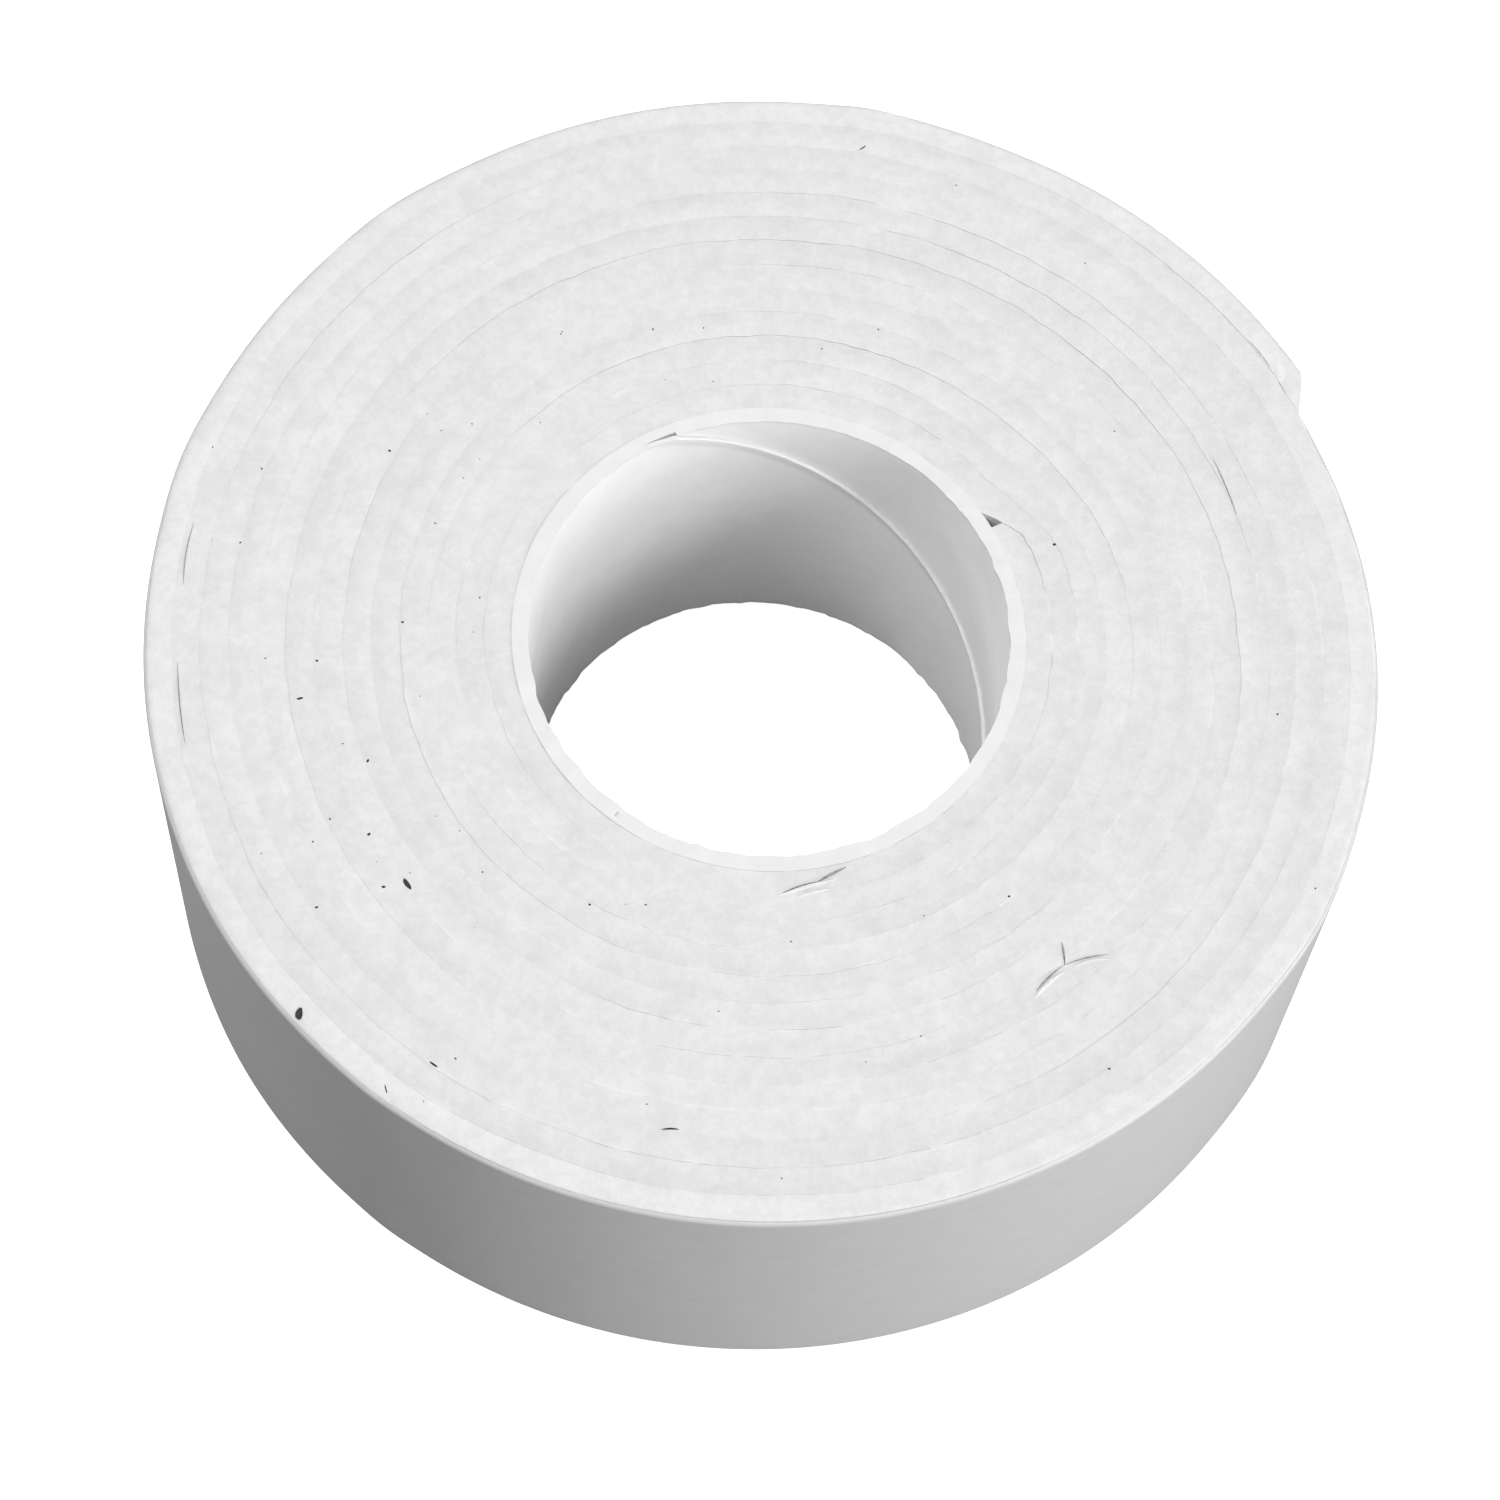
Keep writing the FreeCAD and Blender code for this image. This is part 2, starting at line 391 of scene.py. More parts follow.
def wind(bm, winding, layer, start, end, thickness, closed, top, tone, slanted=False):
    """Winds a flat strip round the core, from one total angle to another.

    Where closed, the layer closes over its neighbours at the slit edges. top(total, depth)
    raises or sinks the upper edge, and tone(total, depth) is how light that edge is, painted
    light and shade included, which is kept as an attribute.
    """
    tape = winding.tape
    light = bm.verts.layers.float.new("tone")
    inside, outside = layer
    step = math.degrees(tape.station)
    slant = math.degrees(tape.end_slant / winding.outer_radius)
    seam = 0.49 * between_foam(tape)  # a little under half, so that two turns don't touch
    for vert in bm.verts:
        total = min(start + vert.co.x * step, end)
        depth, height = vert.co.y * MM / thickness, vert.co.z * MM
        low = winding.radius(inside, total) + (winding.lift(total) if inside[0] == 0 else 0.0)
        high = winding.radius(outside, total)
        at_side = 1 - ease(min(height, TAPE_WIDTH - height) / tape.crush)
        for_low, for_high = (360 * line[0] + total for line in layer)
        low += at_side * covered(winding, for_low) * ragged(for_low)
        high += at_side * covered(winding, for_high) * ragged(for_high)
        if closed:
            on_core = tape.coat * (1 - covered(winding, for_low))
            low -= at_side * (seam * covered(winding, for_low) + on_core)
            high += at_side * seam * covered(winding, for_high)
        radius = low + depth * (high - low)
        surface = winding.radius((1, 0.0), total)
        outermost = winding.outermost(total)
        corner = tape.shoulder * outermost
        if corner:
            upper = height > TAPE_WIDTH / 2
            drop = TAPE_WIDTH - height if upper else height
            sunk, drop = round_corner(surface - radius, drop, corner)
            radius = surface - sunk
            height = TAPE_WIDTH - drop if upper else drop
        exposed = outermost if inside[0] == 1 else 0.0
        stand = stand_proud(total, tape.unevenness) + (1 - exposed) * top(total, depth)
        share = height / TAPE_WIDTH
        at_edge = ease((share - 0.985) / 0.01)
        # The tone holds painted shade and light on the turns' top edges, and 0.03 * outermost is
        # painted light on the outermost turn
        vert[light] = 1 + (tone(total, depth) + 0.03 * outermost - 1) * at_edge
        height += stand * share**6 + abs(stand) * (1 - share) ** 6
        if slanted:
            fraction = 1 - (surface - radius) / winding.pitch
            total += slant * (0.5 - fraction) * ease(1 - (end - total) / 6)
        bearing = math.radians(winding.bearing(total))
        vert.co = (radius * math.cos(bearing), radius * math.sin(bearing), height)
    return bm


def make_piece(bm, name, material):
    """A finished mesh piece, smooth but for edges sharper than 40 degrees."""
    mesh = bpy.data.meshes.new(name)
    bm.to_mesh(mesh)
    bm.free()
    mesh.materials.append(material)
    mesh.shade_smooth()
    mesh.set_sharp_from_angle(angle=math.radians(40))
    piece = bpy.data.objects.new(name, mesh)
    bpy.context.scene.collection.objects.link(piece)
    return piece


# ---- the strip's pieces --------------------------------------------------------------------


def tail_spans(winding, name):
    """The tail's pieces over its bends, as (number, start, end, bend's middle, bend's arc,
    bodies).
    """
    tape = winding.tape
    bend, flap_bend = math.degrees(tape.tail_bend), math.degrees(tape.flap_bend)
    spans = []
    count = len(TAIL_BODIES) - 1
    for k in range(1, count + 1):
        start = winding.tail_cut(k) - bend / 2
        end = winding.tail_cut(k + 1) - bend / 2 if k < count else winding.end
        arc = bend if k < count else bend / 2
        if k == count and name == "liner":
            end = winding.flap_cut() - flap_bend / 2
        spans.append((start, end, winding.tail_cut(k), arc, TAIL_BODIES[k - 1 : k + 1]))
    if name == "liner":
        start, middle = winding.flap_cut() - flap_bend / 2, winding.flap_cut()
        bodies = (TAIL_BODIES[-1], "liner_flap")
        spans.append((start, winding.end, middle, flap_bend, bodies))
    return spans


def layer_piece(winding, name, piece_name, start, end, material, fine, slanted=False):
    """One piece of a layer, wound between two total angles. A fine one has rounded edges."""
    tape = winding.tape
    lines = layer_lines(winding)[name]
    foam = name == "foam"
    thick = winding.pitch - between_foam(tape)
    thickness = {"foam": thick, "liner": tape.liner}.get(name, tape.coat)
    edge = tape.liner / 4 if name == "liner" else 0.0
    parts = math.ceil((end - start) / math.degrees(tape.station) - 1e-6)
    depths = [thick * share for share in (0.3, 0.7, 0.92)] if foam else []
    heights = [tape.crush, TAPE_WIDTH / 2, TAPE_WIDTH - tape.crush]
    if fine:
        steps = [tape.shoulder * share for share in (0.15, 0.3, 0.6, 0.8, 1.0, 1.6)]
        heights += steps + [TAPE_WIDTH - step for step in steps]
        depths = [thick - step for step in steps[:5]] + [thick * 0.3] if foam else []
    bm = flat_strip(parts, thickness, heights, depths, edge)
    top, tone = EDGES.get(name, EDGES["adhesive"])
    wind(bm, winding, lines, start, end, thickness, foam, top, tone, slanted)
    return make_piece(bm, piece_name, material)


def waver(total, period, row):
    """A smooth value from about -1 to 1 that wavers along the strip."""
    return 1.6 * noise.noise(Vector((total / period, row, 0.37)))


def lip(total):
    """1 where the outer edge of a turn is pressed up into a lip, in broken dashes; the lips also
    get a painted highlight.
    """
    bearing = math.radians(START_BEARING - total)
    lower_right = 0.5 * math.cos(bearing + math.radians(50))
    return ease(1.1 * waver(total, 26, 3.3) + 1.3 * waver(total, 3.4, 6.6) - 0.6 + lower_right)


def foam_top(total, depth):
    """Each turn leans a little in or out, as it was slit and wound, and has lips in places."""
    leaning = (0.5 - depth) * (0.005 + 0.032 * waver(total, 80, 21.3))
    return MM * (leaning + 0.03 * lip(total) * ease((depth - 0.9) / 0.05))


def foam_tone_and_shading(total, depth):
    """Streaks along the turns: painted shade and light for each turn's lean, darker towards the
    outer side, lighter or darker towards the inner side, a painted highlight on the lips, and slow
    changes.
    """
    # outside is painted shade and inside is painted light or shade, standing in for each turn's
    # lean
    outside = -0.045 * ease(waver(total, 45, 1.7) + 0.55) * ease((depth - 0.45) / 0.4)
    inside = 0.03 * waver(total, 30, 5.1) * ease((0.5 - depth) / 0.45)
    # pressed is a painted highlight where the foam's edge stands up at the lips
    pressed = 0.12 * lip(total) * ease((depth - 0.9) / 0.05)
    return 1 + outside + inside + pressed + 0.012 * waver(total, 130, 8.9)


def adhesive_top(total, depth):
    """The coats lie below the strip's edge, where the foam is crushed over them."""
    return -0.30 * MM


def adhesive_tone(total, depth):
    """The coats' edges are a little lighter than the foam, and darker in patches along the strip.
    """
    return 1.05 - 0.16 * ease(waver(total, 24, 13.1) * 1.6 - 0.25)


def liner_top(total, depth):
    """The liner's slit edge is sunk between the turns, and comes up at the lips."""
    return MM * (0.27 * lip(total) - 0.25)


def liner_edge_highlight(total, depth):
    """A painted highlight on the liner's slit edge, brightest where it comes up."""
    return 1.0 + 0.05 * lip(total)


EDGES = {
    "foam": (foam_top, foam_tone_and_shading),
    "adhesive": (adhesive_top, adhesive_tone),
    "liner": (liner_top, liner_edge_highlight),
}


def make_layer(winding, name, material):
    """All of a layer: the inner turns, the outermost turn, and the tail's pieces over its bends.
    """
    open_turn = winding.end - 361
    spans = tail_spans(winding, name)
    pieces = [
        layer_piece(winding, name, f"{name}_inner_turns", 0.0, open_turn, material, False),
        layer_piece(winding, name, f"{name}_outer_turn", open_turn, spans[0][0], material, True),
    ]
    for piece in pieces:
        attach(piece, "roll")
    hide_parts(f"wound_{name}")
    for number, (start, end, middle, arc, bodies) in enumerate(spans, 1):
        flap = bodies[1] == "liner_flap"
        piece_name = "liner_flap_piece" if flap else f"{name}_bend_{number}"
        slanted = end == winding.end
        piece = layer_piece(winding, name, piece_name, start, end, material, True, slanted)
        near, far = winding.point(middle - arc / 2), winding.point(middle + arc / 2)
        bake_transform(piece)
        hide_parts("liner_flap" if flap else f"tail_{number}_{name}")
        pieces.append(piece)
    return pieces


# ---- materials -----------------------------------------------------------------------------


def new_material(name, roughness, **values):
    """A Principled material, its shader, and its node tree. _ is a space in an input's name."""
    material = bpy.data.materials.new(name)
    material.use_nodes = True
    shader = material.node_tree.nodes["Principled BSDF"]
    shader.inputs["Roughness"].default_value = roughness
    for socket, value in values.items():
        shader.inputs[socket.replace("_", " ")].default_value = value
    return material, shader, material.node_tree


def add_node(tree, kind, **values):
    """A node, with its properties or input values set."""
    node = tree.nodes.new(kind)
    for key, value in values.items():
        if hasattr(node, key):
            setattr(node, key, value)
        else:
            node.inputs[key].default_value = value
    return node


def object_pattern(tree, kind, stretch=(1, 1, 1), **values):
    """A pattern on Object coordinates, which may be stretched."""
    place = add_node(tree, "ShaderNodeTexCoord")
    mapping = add_node(tree, "ShaderNodeMapping", Scale=stretch)
    pattern = add_node(tree, kind, **values)
    tree.links.new(place.outputs["Object"], mapping.inputs["Vector"])
    tree.links.new(mapping.outputs["Vector"], pattern.inputs["Vector"])
    return pattern


def tint(tree, shader, factor, colour_a, colour_b, low=0.3, high=0.7):
    """Colours a shader between two colours by a pattern."""
    ramp = add_node(tree, "ShaderNodeValToRGB")
    first, last = ramp.color_ramp.elements
    first.position, last.position = low, high
    first.color, last.color = (*colour_a, 1), (*colour_b, 1)
    tree.links.new(factor, ramp.inputs["Fac"])
    tree.links.new(ramp.outputs["Color"], shader.inputs["Base Color"])
    return ramp.outputs["Color"]


def multiply_colour(tree, shader, colour_socket, factor_socket):
    """Multiplies a shader's colour by a value."""
    mix = add_node(tree, "ShaderNodeMix", data_type="RGBA", blend_type="MULTIPLY")
    factor, colour_a, colour_b, result = 0, 6, 7, 2  # its sockets that work on colours
    mix.inputs[factor].default_value = 1.0
    tree.links.new(colour_socket, mix.inputs[colour_a])
    tree.links.new(factor_socket, mix.inputs[colour_b])
    tree.links.new(mix.outputs[result], shader.inputs["Base Color"])
    return mix.outputs[result]


def edge_tone(tree, shader, colour_socket):
    """Applies the lightness kept with the strip's upper edge, painted light and shade included."""
    tone = add_node(tree, "ShaderNodeAttribute", attribute_name="tone")
    return multiply_colour(tree, shader, colour_socket, tone.outputs["Fac"])


def add_bumps(tree, shader, patterns):
    """Chains bumps, each (height output, strength, depth), onto a shader."""
    previous = None
    for height, strength, depth in patterns:
        bump = add_node(tree, "ShaderNodeBump", Strength=strength, Distance=depth)
        tree.links.new(height, bump.inputs["Height"])
        if previous:
            tree.links.new(previous.outputs["Normal"], bump.inputs["Normal"])
        previous = bump
    tree.links.new(previous.outputs["Normal"], shader.inputs["Normal"])


def shade(base, factor):
    """A colour made lighter or darker."""
    return tuple(min(channel * factor, 1.0) for channel in base)


def foam_material(base):
    """Soft foam: fine cells, small dents and faint blotches."""
    material, shader, tree = new_material("white_foam", 0.85, Specular_IOR_Level=0.25)
    blotches = object_pattern(
        tree, "ShaderNodeTexNoise", Scale=1500.0, Detail=6.0, Roughness=0.72, Distortion=0.25
    )
    fine = tint(
        tree, shader, blotches.outputs["Fac"], shade(base, 0.945), shade(base, 1.015), 0.40, 0.60
    )
    clouds = object_pattern(tree, "ShaderNodeTexNoise", Scale=430.0, Detail=2.0)
    spread = add_node(tree, "ShaderNodeMapRange")
    limits = (("From Min", 0.3), ("From Max", 0.7), ("To Min", 0.965), ("To Max", 1.02))
    for socket, value in limits:
        spread.inputs[socket].default_value = value
    tree.links.new(clouds.outputs["Fac"], spread.inputs["Value"])
    cloudy = multiply_colour(tree, shader, fine, spread.outputs["Result"])
    edge_tone(tree, shader, cloudy)
    cells = object_pattern(tree, "ShaderNodeTexVoronoi", Scale=5200.0)
    dents = object_pattern(tree, "ShaderNodeTexNoise", Scale=900.0, Detail=2.0)
    add_bumps(
        tree,
        shader,
        [
            (cells.outputs["Distance"], 0.35, 0.00003),
            (dents.outputs["Fac"], 0.35, 0.00006),
        ],
    )
    return material


def liner_material(base):
    """Smooth siliconised paper with a satin face and faint long dents."""
    material, shader, tree = new_material("liner_paper", 0.42, Specular_IOR_Level=0.4)
    fibres = object_pattern(tree, "ShaderNodeTexNoise", (1, 1, 2.5), Scale=600.0, Detail=4.0)
    fine = tint(tree, shader, fibres.outputs["Fac"], shade(base, 0.965), shade(base, 1.01))
    edge_tone(tree, shader, fine)
    dents = object_pattern(tree, "ShaderNodeTexNoise", (1, 1, 0.4), Scale=110.0, Detail=1.0)
    add_bumps(
        tree,
        shader,
        [(dents.outputs["Fac"], 0.5, 0.0003), (fibres.outputs["Fac"], 0.2, 0.00002)],
    )
    return material


def adhesive_material(base):
    """A thin tacky coat, a little glossy."""
    material, shader, tree = new_material("tacky_coat", 0.3)
    flow = object_pattern(tree, "ShaderNodeTexNoise", Scale=1500.0, Detail=2.0)
    fine = tint(tree, shader, flow.outputs["Fac"], shade(base, 0.96), shade(base, 1.02))
    edge_tone(tree, shader, fine)
    add_bumps(tree, shader, [(flow.outputs["Fac"], 0.3, 0.00003)])
    return material


def paper_material(base):
    """White core paper: short matted fibres and cloudy thickness."""
    material, shader, tree = new_material("core_paper", 0.62, Specular_IOR_Level=0.35)
    clouds = object_pattern(tree, "ShaderNodeTexNoise", Scale=420.0, Detail=5.0, Roughness=0.65)
    cloudy = tint(tree, shader, clouds.outputs["Fac"], shade(base, 0.95), shade(base, 1.02))
    edge_tone(tree, shader, cloudy)
    fibres = object_pattern(tree, "ShaderNodeTexNoise", (1, 1, 3), Scale=2600.0, Detail=3.0)
    add_bumps(
        tree,
        shader,
        [(clouds.outputs["Fac"], 0.25, 0.0001), (fibres.outputs["Fac"], 0.3, 0.00003)],
    )
    return material


def dirt_material(name, base, roughness=0.6):
    """Dust and lint, and painted shade in gaps and creases."""
    material, shader, tree = new_material(name, roughness)
    grain = object_pattern(tree, "ShaderNodeTexNoise", Scale=4000.0, Detail=2.0)
    tint(tree, shader, grain.outputs["Fac"], shade(base, 0.6), shade(base, 1.4))
    return material


# ---- the core ------------------------------------------------------------------------------


def roll_ply(core, index):
    """One ply: a flat paper strip rolled into a tube, its edges meeting at a helical seam."""
    inner = BORE_RADIUS + index * (core.ply + core.glue)
    parts, levels, lifted_width = 240, 24, 2.2 * MM
    seam = core.seam_width / inner
    heights = [TAPE_WIDTH * step / levels for step in range(1, levels)]
    heights += [TAPE_WIDTH * share for share in (0.01, 0.015, 0.985, 0.99)]
    bm = flat_strip(parts, core.ply, heights)
    light = bm.verts.layers.float.new("tone")
    top_bearing = core.seam_bearing + index * core.seam_stagger
    for vert in bm.verts:
        share, depth, height = vert.co.x / parts, vert.co.y * MM, vert.co.z * MM
        bearing = (
            top_bearing
            + seam / 2
            + share * (2 * math.pi - seam)
            - 2 * math.pi * (TAPE_WIDTH - height) / core.seam_lead
        )
        rim = height / TAPE_WIDTH
        place = Vector((math.cos(bearing), math.sin(bearing), 0.0))
        rough = noise.noise(place * 9 + Vector((0, 0, 5.0)))
        rough += 0.6 * noise.noise(place * 31 + Vector((0, 0, 1.0)))
        at_rim = ease((abs(rim - 0.5) - 0.49) / 0.005)
        outside = depth > core.ply / 2
        radius = inner + depth + 0.98 * core.glue * at_rim * outside
        vert[light] = 1 - 0.17 * at_rim
        if index == 0:
            lifted = ease(1 - share * 2 * math.pi * inner / lifted_width)
            radius -= core.seam_lift * lifted
            if not outside:
                radius -= core.roughness * max(rough, -0.4) * (rim**30 + (1 - rim) ** 30)
        height += core.roughness * (0.6 * rough + 0.3) * (rim**12 - 0.4 * (1 - rim) ** 12)
        vert.co = (radius * math.cos(bearing), radius * math.sin(bearing), max(height, 0.0))
    return bm


# ---- marks on the top ----------------------------------------------------------------------


def on_top(bearing, radius):
    """The point on the roll's upper side at a bearing in degrees and a radius in millimetres."""
    about = math.radians(bearing)
    above = Vector((radius * MM * math.cos(about), radius * MM * math.sin(about), 2 * TAPE_WIDTH))
    depsgraph = bpy.context.evaluated_depsgraph_get()
    hit, place, *_ = bpy.context.scene.ray_cast(depsgraph, above, Vector((0, 0, -1)))
    if not hit or place.z < 0.9 * TAPE_WIDTH:
        raise RuntimeError(f"nothing lies at bearing {bearing}, radius {radius}")
    return place


def sliver(bm, near, far, width, height, bow):
    """Adds a tapered, bowed sliver between two places on the roll's side, (bearing, radius)."""
    rings, taper, blunt = 10, 0.7, 0.03
    places = []
    for ring in range(rings + 1):
        share = ring / rings
        places.append(on_top(*(a + (b - a) * share for a, b in zip(near, far))))
    run = places[-1] - places[0]
    aside = Vector((-run.y, run.x, 0)).normalized()
    made = bmesh.new()
    bmesh.ops.create_cone(made, cap_ends=True, segments=8, radius1=0.5, radius2=0.5, depth=1.0)
    bmesh.ops.subdivide_edges(made, edges=edges_along(made, 2), cuts=rings - 1)
    for vert in made.verts:
        along = vert.co.z + 0.5
        thin = math.sin(math.pi * min(max(along, blunt), 1 - blunt)) ** taper
        across, up = vert.co.y * width * thin, vert.co.x * height * thin + 0.01 * MM
        centre = places[round(along * rings)] + aside * (bow * math.sin(math.pi * along))
        vert.co = centre + aside * across + Vector((0, 0, up))
    mesh = bpy.data.meshes.new("sliver")
    made.to_mesh(mesh)
    made.free()
    bm.from_mesh(mesh)
    bpy.data.meshes.remove(mesh)


def speck(bm, bearing, radius, size, stretch, turned):
    """Adds a flattened speck on the roll's side."""
    made = bmesh.ops.create_icosphere(bm, subdivisions=2, radius=0.5)
    place = on_top(bearing, radius)
    for vert in made["verts"]:
        vert.co *= 1 + 0.35 * noise.noise(vert.co * 2.5 + place * 3000)
    matrix = (
        Matrix.Translation(place)
        @ Matrix.Rotation(math.radians(turned), 4, "Z")
        @ Matrix.Diagonal((size * stretch, size, size * 0.35, 1.0))
    )
    bmesh.ops.transform(bm, matrix=matrix, verts=made["verts"])


# Painted shadows in gaps, and raised lips with a painted highlight, as (place, place, width, bow),
# and specks as (bearing, radius, size, stretch, turned). A place is (bearing, radius). Millimetres
# and degrees.
TEAR_GAP_SHADOWS = (
    ((-82.5, 16.8), (-75.2, 16.3), 0.10, 0.10),
    ((-75.6, 16.35), (-68.6, 15.75), 0.17, 0.05),
    ((-44.2, 26.0), (-46.0, 27.2), 0.12, 0.02),
    ((-46.0, 27.15), (-51.0, 27.5), 0.09, -0.12),
    ((-45.9, 27.2), (-41.0, 28.4), 0.06, 0.16),
    ((-171.0, 35.35), (-162.4, 35.4), 0.06, 0.0),
    ((173.8, 35.45), (180.5, 35.3), 0.05, -0.10),
    ((29.5, 30.05), (21.0, 29.85), 0.04, 0.0),
)
TEAR_LIPS = (
    ((-83.5, 17.0), (-71.5, 16.35), 0.30, 0.12),
    ((-79.5, 17.1), (-72.5, 16.9), 0.22, 0.05),
    ((-46.3, 27.5), (-51.6, 27.8), 0.22, -0.15),
    ((-45.2, 27.6), (-41.2, 28.7), 0.20, 0.16),
)
SPECKS = (
    (-132.7, 36.7, 0.45, 1.8, -88),
    (-119.9, 33.8, 0.14, 4.0, -30),
    (85.0, 34.9, 0.09, 6.0, 45),
    (25.1, 18.5, 0.17, 1.3, 20),
    (157.5, 26.1, 0.15, 1.2, 0),
    (-176.1, 22.0, 0.15, 1.2, 0),
    (-45.3, 21.9, 0.14, 1.2, 0),
    (-115.8, 20.6, 0.13, 1.2, 0),
    (-49.7, 33.7, 0.12, 1.4, 0),
    (-4.0, 30.8, 0.12, 1.4, 60),
    (-137.0, 26.9, 0.28, 3.0, -50),
    (-138.4, 28.1, 0.17, 1.4, 0),
    (-145.3, 27.1, 0.15, 1.6, 40),
    (-165.4, 28.3, 0.16, 2.4, 20),
    (-170.3, 27.1, 0.14, 1.2, 0),
    (-154.9, 25.3, 0.14, 1.8, 80),
    (-149.2, 28.7, 0.13, 1.0, 0),
    (-147.5, 30.2, 0.12, 1.0, 0),
    (-140.6, 32.0, 0.14, 1.5, 30),
    (-122.0, 36.6, 0.08, 7.0, -70),
)


# ---- operators -----------------------------------------------------------------------------


class MakeFoam(bpy.types.Operator):
    """Wind the foam strip, its tail and its cut end"""

    bl_idname = "grip_tape.foam"
    bl_label = "Foam strip"

    def execute(self, context):
        scene = context.scene
        material = foam_material(scene.tape_finishes.foam)
        for piece in make_layer(Winding(scene.tape_sizes), "foam", material):
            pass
        return {"FINISHED"}


class MakeAdhesive(bpy.types.Operator):
    """Wind the adhesive coats on both sides of the foam"""

    bl_idname = "grip_tape.adhesive"
    bl_label = "Adhesive coats"

    def execute(self, context):
        scene = context.scene
        material = adhesive_material(scene.tape_finishes.coat)
        for name in ("inner_adhesive", "outer_adhesive"):
            for piece in make_layer(Winding(scene.tape_sizes), name, material):
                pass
        return {"FINISHED"}


class MakeLiner(bpy.types.Operator):
    """Wind the release liner and its flap"""

    bl_idname = "grip_tape.liner"
    bl_label = "Release liner"

    def execute(self, context):
        scene = context.scene
        material = liner_material(scene.tape_finishes.skin)
        for piece in make_layer(Winding(scene.tape_sizes), "liner", material):
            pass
        return {"FINISHED"}


class MakeCore(bpy.types.Operator):
    """Roll the core's paper plies"""

    bl_idname = "grip_tape.core"
    bl_label = "Paper core"

    def execute(self, context):
        core = context.scene.core_sizes
        material = paper_material(context.scene.tape_finishes.paper)
        nodes = ["core_inner_ply", "core_middle_ply", "core_outer_ply"]
        for index, node in enumerate(nodes[: core.plies]):
            piece = make_piece(roll_ply(core, index), node.replace("core", "paper"), material)
            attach(piece, "roll")
            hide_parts(node)
        return {"FINISHED"}


class MakeMarks(bpy.types.Operator):
    """Add the tears in the foam's edge and the specks and fibres that lie on it, with painted
    shade in the gaps and crease and painted highlights on the lips and pressed edge
    """

    bl_idname = "grip_tape.marks"
    bl_label = "Tears and specks"

    def execute(self, context):
        finishes = context.scene.tape_finishes
        gaps, lips, dirt = bmesh.new(), bmesh.new(), bmesh.new()
        # The gaps are grey slivers: painted shadow in the tears and between the turns
        for near, far, width, bow in TEAR_GAP_SHADOWS:
            sliver(gaps, near, far, width * MM, 0.12 * MM, bow * MM)
        # The lips are raised ridges in a foam 8% lighter: a painted highlight
        for near, far, width, bow in TEAR_LIPS:
            sliver(lips, near, far, width * MM, 0.24 * MM, bow * MM)
        for bearing, radius, size, stretch, turned in SPECKS:
            speck(dirt, bearing, radius, size * MM, stretch, turned)
        sliver(dirt, (-96.3, 32.1), (-94.5, 31.9), 0.11 * MM, 0.08 * MM, 0.05 * MM)
        scatter = random.Random(13)
        for _ in range(46):
            bearing = scatter.gauss(-165, 70)
            radius = scatter.uniform(17.5, 36)
            size = scatter.uniform(0.05, 0.10)
            stretch, turned = scatter.uniform(1, 2.2), scatter.uniform(0, 180)
            speck(dirt, bearing, radius, size * MM, stretch, turned)
        crease, smear = bmesh.new(), bmesh.new()
        # The crease is a grey sliver: painted shade in the tail's fold
        sliver(crease, (39.8, 36.5), (36.2, 36.5), 0.10 * MM, 0.08 * MM, 0.05 * MM)
        # The pressed edge is a low raised smear in a foam 10% lighter: a painted highlight
        sliver(smear, (36.3, 37.1), (34.3, 36.5), 0.6 * MM, 0.05 * MM, 0.1 * MM)
        made = (
            ("tear_gap_shadows", gaps, dirt_material("torn_shadow", (0.28, 0.28, 0.28), 0.9), "foam"),
            ("tear_lips_highlighted", lips, foam_material(shade(finishes.foam, 1.08)), "foam"),
            ("specks_and_fibres", dirt, dirt_material("lint", finishes.dirt), "foam"),
            ("tail_crease_shade", crease, dirt_material("crease_shade", (0.5, 0.5, 0.5), 0.9), "foam"),
            ("tail_pressed_edge_highlight", smear, foam_material(shade(finishes.foam, 1.1)), "foam"),
        )
        for name, bm, material, slot in made:
            bmesh.ops.recalc_face_normals(bm, faces=bm.faces)
            light = bm.verts.layers.float.new("tone")
            for vert in bm.verts:
                vert[light] = 1.0
            piece = make_piece(bm, name, material)
            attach(piece, "tail_4" if name.startswith("tail") else "roll")
        return {"FINISHED"}


CAMERA_PLACE = Vector((-0.000508, -0.11391, 0.25798))
CAMERA_BACK = Vector((0, -0.41469, 0.90996))  # the way that the camera's back faces
LIGHTS = (
    # name, power in watts, bearing and elevation in degrees
    ("key_light", 1.42, 325, 30),
    ("low_key_light", 1.32, 327, 12),
    ("front_light", 0.12, 290, 30),
    ("left_light", 0.60, 150, 30),
    ("top_light", 1.60, 185, 62),
    ("back_light", 0.80, 60, 50),
)


def soft_light(name, power, bearing, elevation, distance=0.62, size=0.2):
    """A round area light that faces the middle of the roll."""
    lamp = bpy.data.lights.new(name, "AREA")
    lamp.shape, lamp.size, lamp.energy = "DISK", size, power
    light = bpy.data.objects.new(name, lamp)
    bearing, elevation = math.radians(bearing), math.radians(elevation)
    flat = math.cos(elevation)
    away = Vector((math.cos(bearing) * flat, math.sin(bearing) * flat, math.sin(elevation)))
    place = away * distance
    facing = (Vector((0, 0, TAPE_WIDTH / 2)) - place).to_track_quat("-Z", "Y")
    light.matrix_world = Matrix.LocRotScale(place, facing, None)
    bpy.context.scene.collection.objects.link(light)


def disc(name, radius, below, material):
    """A round sheet that lies level, a little below the roll."""
    bm = bmesh.new()
    bmesh.ops.create_circle(bm, cap_ends=True, segments=96, radius=radius)
    bmesh.ops.translate(bm, verts=bm.verts, vec=(0, 0, -below))
    return make_piece(bm, name, material)


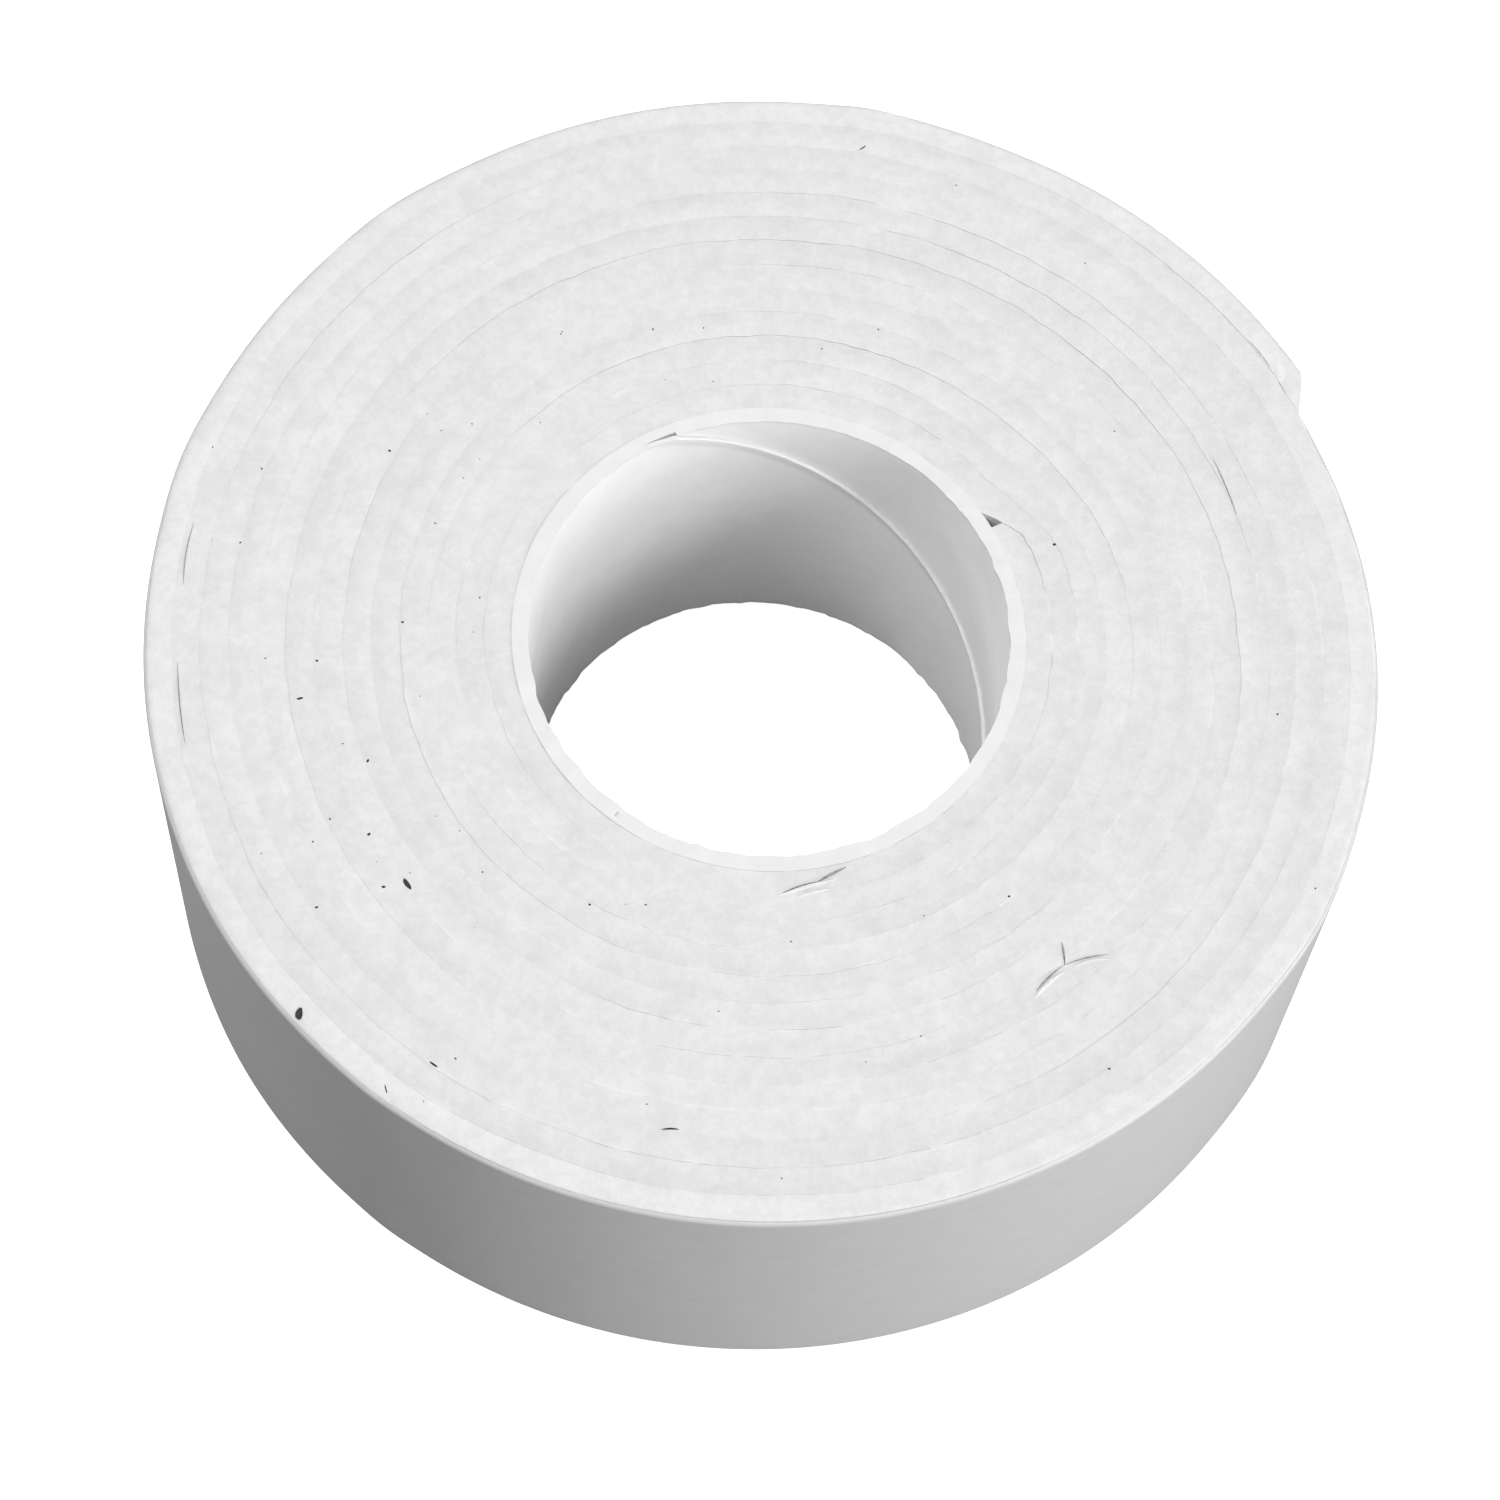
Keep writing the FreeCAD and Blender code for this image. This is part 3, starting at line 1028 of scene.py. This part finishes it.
class MakeStage(bpy.types.Operator):
    """Set the floor, the lights and the camera"""

    bl_idname = "grip_tape.stage"
    bl_label = "Stage"

    def execute(self, context):
        scene = context.scene
        stage = scene.stage_settings
        pale, _, _ = new_material(
            "pale_floor",
            0.9,
            Base_Color=(*scene.tape_finishes.floor, 1),
            Emission_Color=(1, 1, 1, 1),
            Emission_Strength=0.85,
        )
        floor = disc("floor", 1.5, 0.2 * MM, pale)
        floor.visible_diffuse = False
        floor.visible_glossy = False
        floor.visible_shadow = False
        grey, _, _ = new_material("grey_table", 0.9, Base_Color=(0.12, 0.12, 0.12, 1))
        table = disc("table_under_floor", 1.4, 0.4 * MM, grey)
        table.visible_camera = False

        for light in LIGHTS:
            soft_light(*light)
        world = bpy.data.worlds.new("dim_room")
        world.use_nodes = True
        background = world.node_tree.nodes["Background"]
        background.inputs["Color"].default_value = (1, 1, 1, 1)
        background.inputs["Strength"].default_value = stage.room_light
        scene.world = world

        camera = bpy.data.objects.new("camera", bpy.data.cameras.new("camera"))
        camera.data.lens, camera.data.sensor_width = stage.lens, 36
        camera.data.clip_start = 0.01
        side, upright = Vector((1, 0, 0)), CAMERA_BACK.cross(Vector((1, 0, 0)))
        right = side * math.cos(stage.roll) + upright * math.sin(stage.roll)
        top = -side * math.sin(stage.roll) + upright * math.cos(stage.roll)
        rotation = Matrix((right, top, CAMERA_BACK)).transposed()
        camera.matrix_world = Matrix.Translation(CAMERA_PLACE) @ rotation.to_4x4()
        scene.collection.objects.link(camera)
        scene.camera = camera
        scene.view_settings.view_transform = "Standard"
        return {"FINISHED"}


OPERATORS = (MakeCore, MakeFoam, MakeAdhesive, MakeLiner, MakeMarks, MakeStage)


class GripTapePanel(bpy.types.Panel):
    """The grip tape roll's pieces and settings"""

    bl_idname = "VIEW3D_PT_grip_tape"
    bl_label = "Grip tape roll"
    bl_space_type = "VIEW_3D"
    bl_region_type = "UI"
    bl_category = "Grip Tape"

    def draw(self, context):
        for tool in OPERATORS:
            self.layout.operator(tool.bl_idname)
        for group in (getattr(context.scene, name) for name in SETTING_NAMES):
            for name in group.bl_rna.properties.keys():
                if name not in ("rna_type", "name"):
                    self.layout.prop(group, name)


def register():
    """Registers the add-on's classes and its scene settings."""
    for item in (*SETTINGS, *OPERATORS, GripTapePanel):
        bpy.utils.register_class(item)
    for name, group in zip(SETTING_NAMES, SETTINGS):
        setattr(bpy.types.Scene, name, bpy.props.PointerProperty(type=group))


def unregister():
    """Takes the settings and classes away again."""
    for name in SETTING_NAMES:
        delattr(bpy.types.Scene, name)
    for item in reversed((*SETTINGS, *OPERATORS, GripTapePanel)):
        bpy.utils.unregister_class(item)


def main():
    """Builds the roll and its stage."""
    register()
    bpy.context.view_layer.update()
    for tool in OPERATORS:
        group, name = tool.bl_idname.split(".")
        getattr(getattr(bpy.ops, group), name)()


if __name__ == "__main__":
    main()
